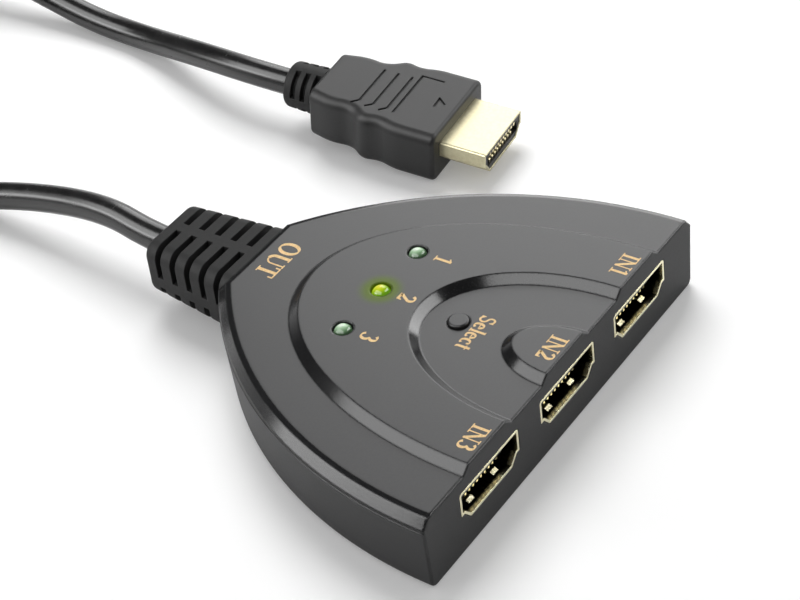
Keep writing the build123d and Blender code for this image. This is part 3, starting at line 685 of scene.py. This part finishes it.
# %% Switch, screws and cores
nylon = finish(
    "moulded_nylon", ("131314", "1b1b1c"), 0.4 * mm, 0.004 * mm, (0.4, 0.52), IOR=1.53
)[0]
paint(nylon, "tact_body", "tact_plunger")
stainless = finish(
    "rolled_stainless", ("b4b4b2", "c6c6c4"), 1.2 * mm, 0.002 * mm, (0.2, 0.3), Metallic=1.0
)[0]
paint(stainless, "tact_cover", "tact_dome")
zinc = finish(
    "zinc_plate", ("8e8f92", "a9abae"), 0.5 * mm, 0.004 * mm, (0.3, 0.45), Metallic=1.0
)[0]
paint(zinc, "case_screws")

core_reach = 4.6 * mm
core_pvc, tree, surface, place, _ = finish(
    "core_pvc", ("b8b4a8", "c8c4b8"), 0.8 * mm, 0.004 * mm, (0.35, 0.45), IOR=1.53
)
along = add(tree, "ShaderNodeSeparateXYZ", links={0: place.outputs["Object"]})
across = add(
    tree,
    "ShaderNodeMapRange",
    {"From Min": -core_reach, "From Max": core_reach},
    {"Value": along.outputs["X"]},
)
core_colours = ((0.0, "9c2f28"), (0.25, "c9c6bc"), (0.5, "2f6a3f"), (0.75, "2c4f86"))
wires = add(
    tree,
    "ShaderNodeValToRGB",
    links={"Fac": across.outputs["Result"]},
    stops=[(start, linear(code)) for start, code in core_colours],
)
wires.color_ramp.interpolation = "CONSTANT"
tree.links.new(wires.outputs["Color"], surface.inputs["Base Color"])
paint(core_pvc, "cable_cores")

# %% [markdown]
# The snap dome under the plunger is a thin cap of spring steel that gives way
# when the button is pressed. The imported dome keeps its shape, so the plunger
# would sink into it. A copy with its corners joined and a mesh of its own takes
# its place; it keeps the same shape.

# %% Snap dome
joined = bmesh.new()
joined.from_mesh(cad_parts["tact_dome"].data)
bmesh.ops.remove_doubles(joined, verts=joined.verts, dist=0.001 * mm)
dome_mesh = bpy.data.meshes.new("snap_dome")
joined.to_mesh(dome_mesh)
joined.free()
dome_mesh.materials.clear()
dome_mesh.materials.append(stainless)
snap_dome = bpy.data.objects.new("snap_dome", dome_mesh)
bpy.context.collection.objects.link(snap_dome)
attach(snap_dome, "switch_box")
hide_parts("tact_dome")
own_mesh(snap_dome)

# %% [markdown]
# Two kinds of small things repeat and are too many to place by hand: the bright
# noses of the contacts in the plug's mouth, and the solder under the board.
# Geometry Nodes keep the rule: a tree draws one piece from named sizes and
# repeats it on points, and the result is turned into a plain mesh, because a
# copy that is only an instance isn't exported.

# %% Trees that repeat a piece on points
def repeating_tree(name, *sizes):
    """A new tree with a geometry input and a named input for each size."""
    tree = bpy.data.node_groups.new(name, "GeometryNodeTree")
    tree.interface.new_socket("Points", in_out="INPUT", socket_type="NodeSocketGeometry")
    for size in sizes:
        tree.interface.new_socket(size, in_out="INPUT", socket_type="NodeSocketFloat")
    tree.interface.new_socket("Geometry", in_out="OUTPUT", socket_type="NodeSocketGeometry")
    return tree, add(tree, "NodeGroupInput").outputs


def end_tree(tree, points, piece, material):
    """Ends a tree: the piece on each point, made real, with its material."""
    copies = add(
        tree, "GeometryNodeInstanceOnPoints", links={"Points": points, "Instance": piece}
    )
    real = add(
        tree, "GeometryNodeRealizeInstances", links={"Geometry": copies.outputs["Instances"]}
    )
    dressed = add(
        tree,
        "GeometryNodeSetMaterial",
        {"Material": material},
        {"Geometry": real.outputs["Geometry"]},
    )
    add(tree, "NodeGroupOutput", links={"Geometry": dressed.outputs["Geometry"]})


def repeat(name, tree, sizes, points, material, place=Matrix()):
    """The plain mesh that a tree makes on points, as a piece of the switch box."""
    mesh = bpy.data.meshes.new(name)
    mesh.from_pydata(points, [], [])
    piece = bpy.data.objects.new(name, mesh)
    bpy.context.collection.objects.link(piece)
    modifier = piece.modifiers.new("repeat", "NODES")
    modifier.node_group = tree
    for socket in tree.interface.items_tree:
        if socket.name in sizes:
            modifier[socket.identifier] = sizes[socket.name]
    graph = bpy.context.evaluated_depsgraph_get()
    made = bpy.data.meshes.new_from_object(piece.evaluated_get(graph))
    made.transform(place)
    # The mesh keeps the tree's material as an empty slot, so it is given again
    made.materials.clear()
    made.materials.append(material)
    piece.modifiers.clear()
    piece.data = made
    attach(piece, "switch_box")
    print(name, len(points), "pieces,", len(made.polygons), "faces")
    return piece


# %% [markdown]
# The plug's lower contacts are blades of gilt spring bronze, one per
# millimetre, and each ends at the mouth in a bright, folded nose. A nose is a
# short bar with a rounded side, so a line as wide as the blade carries a
# rounded rectangle.

# %% Contact noses in the plug's mouth
noses, sizes = repeating_tree("contact_noses", "Width", "Length", "Height", "Rounding")
side = add(
    noses,
    "GeometryNodeCurvePrimitiveQuadrilateral",
    links={"Width": sizes["Length"], "Height": sizes["Height"]},
    mode="RECTANGLE",
)
side = add(
    noses,
    "GeometryNodeFilletCurve",
    {"Count": 3},
    {"Curve": side.outputs["Curve"], "Radius": sizes["Rounding"]},
    mode="POLY",
)
width = add(
    noses,
    "GeometryNodeCurvePrimitiveLine",
    {"Direction": (1, 0, 0)},
    {"Length": sizes["Width"]},
    mode="DIRECTION",
)
nose = add(
    noses,
    "GeometryNodeCurveToMesh",
    {"Fill Caps": True},
    {"Curve": width.outputs["Curve"], "Profile Curve": side.outputs["Curve"]},
)
end_tree(noses, sizes["Points"], nose.outputs["Mesh"], contact_gold)

# %% The row of noses
# The plug's own frame: turned and pitched where it lies, its shell's end 8.3 mm ahead of its grip
plug_place = Vector((49.9, 23.2, -0.058)) * mm
plug_turn, plug_pitch = radians(6.4), radians(5.0)
plug_frame = (
    Matrix.Translation(plug_place)
    @ Matrix.Rotation(plug_turn, 4, "Z")
    @ Matrix.Rotation(plug_pitch, 4, "X")
)
contact_pitch = 1.0 * mm
nose_count = 9
nose_width = 0.5 * mm
nose_y, nose_z = -7.42 * mm, 3.93 * mm
row_start = -(nose_count // 2) * contact_pitch - nose_width / 2
row = [(row_start + step * contact_pitch, nose_y, nose_z) for step in range(nose_count)]
nose_sizes = {
    "Width": nose_width,
    "Length": 0.75 * mm,
    "Height": 0.54 * mm,
    "Rounding": 0.12 * mm,
}
plug_noses = repeat("plug_contact_noses", noses, nose_sizes, row, contact_gold, plug_frame)

# %% [markdown]
# Under the board each pin and tab stands in a small fillet of solder, which
# climbs it because molten tin wets copper. Its outline sinks in the middle,
# where a cone would be too full. So a hollow outline of unit size is stretched
# to the foot and the height, and swept round the pin.

# %% Solder joints
joints, sizes = repeating_tree("solder_joints", "Pin radius", "Foot radius", "Height")
pin = add(
    joints,
    "GeometryNodeCurvePrimitiveCircle",
    {"Resolution": 14},
    {"Radius": sizes["Pin radius"]},
)
outline = [(0, 0, 0), (1, 0, 0), (0.35, 0.35, 0), (0.08, 1, 0)]
hollow = add(
    joints,
    "GeometryNodeCurvePrimitiveQuadrilateral",
    {"Point %d" % number: point for number, point in enumerate(outline, 1)},
    mode="POINTS",
)
spread = add(
    joints,
    "ShaderNodeMath",
    links={0: sizes["Foot radius"], 1: sizes["Pin radius"]},
    operation="SUBTRACT",
)
size = add(
    joints,
    "ShaderNodeCombineXYZ",
    {"Z": 1.0},
    {"X": spread.outputs["Value"], "Y": sizes["Height"]},
)
fillet = add(
    joints,
    "GeometryNodeTransform",
    links={"Geometry": hollow.outputs["Curve"], "Scale": size.outputs["Vector"]},
)
ring = add(
    joints,
    "GeometryNodeCurveToMesh",
    links={"Curve": pin.outputs["Curve"], "Profile Curve": fillet.outputs["Geometry"]},
)
end_tree(joints, sizes["Points"], ring.outputs["Mesh"], tin)

# %% Solder of the pins and tabs
board_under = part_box("main_board")[0].z
half_lead_pitch = 1.27 * mm
switch_columns = (-3.25 * mm, 3.25 * mm)
switch_rows = (-12.25 * mm, -7.75 * mm)
pins = [(lamp + lead, lamp_row, board_under) for lamp in lamp_places
        for lead in (-half_lead_pitch, half_lead_pitch)]
pins += [(x, y, board_under) for x in switch_columns for y in switch_rows]
pin_sizes = {"Pin radius": 0.38 * mm, "Foot radius": 0.8 * mm, "Height": 0.35 * mm}
repeat("pin_solder", joints, pin_sizes, pins, tin)

half_tab_pitch = 5.15 * mm
tab_rows = (-25.0 * mm, -19.0 * mm)
tabs = [(port + side, y, board_under) for port in port_places
        for side in (-half_tab_pitch, half_tab_pitch) for y in tab_rows]
tab_sizes = {"Pin radius": 0.66 * mm, "Foot radius": 1.0 * mm, "Height": 0.4 * mm}
repeat("tab_solder", joints, tab_sizes, tabs, tin)

# %% [markdown]
# The words are pad-printed in pale gold ink, in bold letters with thick
# uprights, thin cross strokes and small feet. A font object would give plain
# letters, so each sign is a list of strokes instead, in shares of a capital's
# height.

# %% Pen strokes of the letters
def arc(across, up, wide, tall, start, end):
    """Points on part of an ellipse between two angles in degrees."""
    steps = max(4, round(abs(end - start) / 15))
    angles = [radians(start + (end - start) * step / steps) for step in range(steps + 1)]
    return [(across + wide * cos(angle), up + tall * sin(angle)) for angle in angles]


# Each sign is its width and its strokes, and each stroke its points and its width, where
# None leaves the width to the pen
bar, stem, hair = 0.07, 0.17, 0.08
signs = {
    "I": (
        0.42,
        [
            ([(0.2, 0), (0.2, 1)], stem),
            ([(0.02, 0.03), (0.38, 0.03)], bar),
            ([(0.02, 0.97), (0.38, 0.97)], bar),
        ],
    ),
    "N": (
        0.86,
        [
            ([(0.14, 0), (0.14, 1)], hair),
            ([(0.12, 0.97), (0.68, 0.03)], stem),
            ([(0.68, 0), (0.68, 1)], hair),
            ([(0, 0.03), (0.28, 0.03)], bar),
            ([(-0.02, 0.97), (0.2, 0.97)], bar),
            ([(0.54, 0.97), (0.82, 0.97)], bar),
        ],
    ),
    "O": (0.86, [(arc(0.4, 0.5, 0.31, 0.46, 0, 360), None)]),
    "U": (
        0.82,
        [
            ([(0.16, 1), (0.16, 0.34)] + arc(0.38, 0.32, 0.22, 0.28, 180, 270), stem),
            (arc(0.38, 0.32, 0.28, 0.28, 270, 360) + [(0.66, 0.34), (0.66, 1)], hair),
            ([(0, 0.97), (0.32, 0.97)], bar),
            ([(0.54, 0.97), (0.78, 0.97)], bar),
        ],
    ),
    "T": (
        0.74,
        [
            ([(0.34, 0), (0.34, 1)], stem),
            ([(0.01, 0.96), (0.67, 0.96)], bar),
            ([(0.03, 0.98), (0.03, 0.74)], hair),
            ([(0.65, 0.98), (0.65, 0.74)], hair),
            ([(0.17, 0.03), (0.51, 0.03)], bar),
        ],
    ),
    "S": (
        0.64,
        [
            (arc(0.28, 0.74, 0.19, 0.21, 20, 250) + arc(0.28, 0.27, 0.21, 0.23, 70, -160), 0.13),
            ([(0.48, 0.98), (0.48, 0.72)], hair),
            ([(0.06, 0.28), (0.06, 0.02)], hair),
        ],
    ),
    "e": (
        0.56,
        [
            (arc(0.26, 0.33, 0.19, 0.3, 8, 322), None),
            ([(0.1, 0.38), (0.44, 0.38)], bar),
        ],
    ),
    "l": (
        0.34,
        [
            ([(0.17, 0), (0.17, 1.04)], stem),
            ([(0.02, 0.03), (0.32, 0.03)], bar),
            ([(0.03, 1.0), (0.17, 1.0)], bar),
        ],
    ),
    "c": (
        0.52,
        [
            (arc(0.27, 0.33, 0.2, 0.3, 48, 318), None),
            (arc(0.39, 0.52, 0.03, 0.03, 0, 360), hair),
        ],
    ),
    "t": (
        0.42,
        [
            ([(0.19, 0.9), (0.19, 0.16)] + arc(0.31, 0.16, 0.12, 0.13, 180, 280), None),
            ([(0.02, 0.64), (0.38, 0.64)], bar),
        ],
    ),
    "1": (
        0.5,
        [
            ([(0.26, 0), (0.26, 1)], stem),
            ([(0.04, 0.82), (0.26, 0.96)], hair),
            ([(0.06, 0.03), (0.46, 0.03)], bar),
        ],
    ),
    "2": (
        0.6,
        [
            (arc(0.27, 0.72, 0.2, 0.24, 165, -30) + [(0.1, 0.1)], None),
            ([(0.05, 0.09), (0.5, 0.09)], 0.16),
            ([(0.51, 0.02), (0.51, 0.28)], hair),
        ],
    ),
    "3": (
        0.58,
        [
            (arc(0.25, 0.75, 0.18, 0.21, 155, -80), None),
            (arc(0.25, 0.28, 0.22, 0.25, 90, -155), None),
        ],
    ),
}
print("letters", "".join(signs))

# %% [markdown]
# A broad pen held level draws thick where it moves up or down and thin where it
# moves across, and one rule for the width gives all letters the same hand. Each
# stroke becomes a flat ribbon a few hundredths of a millimetre above the
# plastic, as thick as ink. Where strokes cross, two ribbons at one height would
# flicker, so each lies a hair above the last.

# %% Ink and pen
ink = finish("gold_ink", ("cda462", "e6c68a"), 0.25 * mm, 0.004 * mm, (0.40, 0.55), IOR=1.5)[0]
pen_spread = 0.11
stroke_step, stroke_levels = 0.002 * mm, 7


def ribbon(points, width, height):
    """Corners and faces of a flat stroke along points; the pen's width follows its direction."""
    corners = []
    for index, (across, up) in enumerate(points):
        before, after = points[max(index - 1, 0)], points[min(index + 1, len(points) - 1)]
        run, rise = after[0] - before[0], after[1] - before[1]
        length = hypot(run, rise)
        thick = width or bar + pen_spread * abs(rise) / length
        side = (-rise / length * thick / 2, run / length * thick / 2)
        corners.append((across + side[0], up + side[1], height))
        corners.append((across - side[0], up - side[1], height))
    faces = [(2 * i, 2 * i + 1, 2 * i + 3, 2 * i + 2) for i in range(len(points) - 1)]
    return corners, faces


def word(name, text, height, place):
    """A printed word, readable from the cable's side, centred on a place on the casing."""
    corners, faces = [], []
    cursor = -sum(signs[letter][0] for letter in text) / 2
    for letter in text:
        advance, strokes = signs[letter]
        for points, width in strokes:
            moved = [(cursor + across, up - 0.5) for across, up in points]
            level = stroke_step / height * (len(faces) % stroke_levels)
            new_corners, new_faces = ribbon(moved, width, level)
            start = len(corners)
            corners += new_corners
            faces += [tuple(start + corner for corner in face) for face in new_faces]
        cursor += advance
    mesh = bpy.data.meshes.new(name)
    mesh.from_pydata(corners, [], faces)
    read_from_cable = Matrix.Rotation(pi, 4, "Z")
    mesh.transform(Matrix.Translation(place) @ read_from_cable @ Matrix.Scale(height, 4))
    mesh.materials.append(ink)
    piece = bpy.data.objects.new(name, mesh)
    bpy.context.collection.objects.link(piece)
    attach(piece, "switch_box")
    print(name, len(faces), "faces")


# %% Print
ink_height = 0.02 * mm
rim_drop = 1.2 * mm
top_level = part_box("top_case")[1].z
on_top = top_level + ink_height
on_rim = top_level - rim_drop + ink_height
for index, x in zip(numbered, port_places):
    word("label_in_%d" % index, "IN%d" % index, 2.8 * mm, Vector((x, -25.8 * mm, on_top)))
for index, x in zip(numbered, lamp_places):
    word("label_lamp_%d" % index, "%d" % index, 2.9 * mm, Vector((x, -1.1 * mm, on_top)))
word("label_out", "OUT", 3.6 * mm, Vector((0, 22.5 * mm, on_rim)))
word("label_select", "Select", 2.6 * mm, Vector((-1.0 * mm, -13.6 * mm, on_rim)))

# %% [markdown]
# The floor is a pale, matt sweep that keeps the soft shadow. Its own light is
# added only for what the camera sees directly or in something shiny, so the
# background turns white without any more light on the object.

# %% Floor
floor_reach = 3.0
floor_light = 0.2
floor_corners = [
    (-floor_reach, -floor_reach, 0),
    (floor_reach, -floor_reach, 0),
    (floor_reach, floor_reach, 0),
    (-floor_reach, floor_reach, 0),
]
floor_mesh = bpy.data.meshes.new("floor")
floor_mesh.from_pydata(floor_corners, [], [(0, 1, 2, 3)])
floor = bpy.data.objects.new("floor", floor_mesh)
bpy.context.collection.objects.link(floor)
floor_paint, tree, surface, _, _ = finish(
    "pale_floor",
    ("e9e9e9", "efefef"),
    40 * mm,
    0.02 * mm,
    (0.85, 0.95),
    Emission_Color=(1, 1, 1, 1),
)
rays = add(tree, "ShaderNodeLightPath").outputs
seen = rays["Is Camera Ray"]
for ray in ("Is Glossy Ray", "Is Transmission Ray"):
    either = add(tree, "ShaderNodeMath", links={0: seen, 1: rays[ray]}, operation="MAXIMUM")
    seen = either.outputs["Value"]
own_light = add(tree, "ShaderNodeMath", {1: floor_light}, {0: seen}, operation="MULTIPLY")
tree.links.new(own_light.outputs["Value"], surface.inputs["Emission Strength"])
floor_mesh.materials.append(floor_paint)
print("floor", 2 * floor_reach, "m wide")

# %% [markdown]
# The world is a white studio sweep to the camera. To shiny surfaces it is nearly
# white at the horizon and dark from a little way up, apart from the softboxes.
# Matt ones get four tenths of it as fill.

# %% World
fill = 0.4
sweep_range = {"From Min": 0.03, "From Max": 0.2, "To Min": 0.8, "To Max": 0.04}

world = bpy.data.worlds.new("studio")
world.use_nodes = True
bpy.context.scene.world = world
tree = world.node_tree
backdrop = tree.nodes["Background"]
backdrop.inputs["Color"].default_value = (1, 1, 1, 1)
rays = add(tree, "ShaderNodeLightPath").outputs
place = add(tree, "ShaderNodeTexCoord")
height = add(tree, "ShaderNodeSeparateXYZ", links={0: place.outputs["Generated"]})
sweep = add(tree, "ShaderNodeMapRange", sweep_range, {"Value": height.outputs["Z"]})
shiny = add(
    tree,
    "ShaderNodeMath",
    links={0: rays["Is Glossy Ray"], 1: rays["Is Transmission Ray"]},
    operation="MAXIMUM",
)
mirrored = add(
    tree,
    "ShaderNodeMix",
    {2: fill},
    {0: shiny.outputs["Value"], 3: sweep.outputs["Result"]},
    data_type="FLOAT",
)
strength = add(
    tree,
    "ShaderNodeMix",
    {3: 1.0},
    {0: rays["Is Camera Ray"], 2: mirrored.outputs[0]},
    data_type="FLOAT",
)
tree.links.new(strength.outputs[0], backdrop.inputs["Strength"])
print("world", world.name)

# %% [markdown]
# A photographer lights black plastic twice: one lamp gives the light that matt
# surfaces scatter, and white panels give what shiny ones mirror. Here the key is
# seen by matt surfaces alone and the four panels by shiny ones alone, so the
# gloss can be set without any more light on the object. Each panel stands where
# a surface mirrors it to the camera, with left and right as in the picture. The
# big one is behind the box on the right, where the level top shows it, more so
# towards the right. The long one hangs over the left side, where the sloped
# walls of the steps and the bevel show it. A low, narrow strip at the left is
# what the bevel shows near the front's corner. A strip at the right is for the
# front's edge and the rear wall of the sunk step. Between them the room is dark,
# which is what draws the black lines.

# %% Softboxes
def softbox(name, direction, distance, width, length, radiance, spin=0.0, matt=False):
    """A softbox that faces the box from a distance in metres along a direction.

    Its length lies along Y before the spin in degrees. Matt surfaces alone see it if it is
    matt, and shiny ones alone if it isn't."""
    data = bpy.data.lights.new(name, "AREA")
    data.shape = "RECTANGLE"
    data.size, data.size_y = width, length
    data.energy = radiance * pi * width * length
    lamp = bpy.data.objects.new(name, data)
    bpy.context.collection.objects.link(lamp)
    lamp.visible_diffuse = matt
    lamp.visible_glossy = not matt
    away = Vector(direction).normalized()
    along = (Vector((0, 1, 0)) - away * away.y).normalized()
    turned = Matrix((along.cross(away), along, away)).transposed().to_4x4()
    spun = Matrix.Rotation(radians(spin), 4, "Z")
    lamp.matrix_world = Matrix.Translation(away * distance) @ turned @ spun
    print(name, round(data.energy, 1), "W")


softbox("key", (0.5, 0.42, 0.76), 1.2, 0.7, 0.7, 8.0, matt=True)
softbox("big_panel", (0.79, 0.32, 0.53), 1.2, 0.8, 0.85, 3.6)
softbox("long_panel", (-0.55, 0.28, 0.80), 1.0, 0.7, 1.6, 4.4)
softbox("left_panel", (-0.58, 0.72, 0.375), 1.0, 0.22, 0.76, 5.0)
softbox("front_panel", (0.72, -0.46, 0.52), 1.0, 0.3, 1.1, 6.5, spin=-58)
bpy.context.scene.view_settings.view_transform = "Standard"
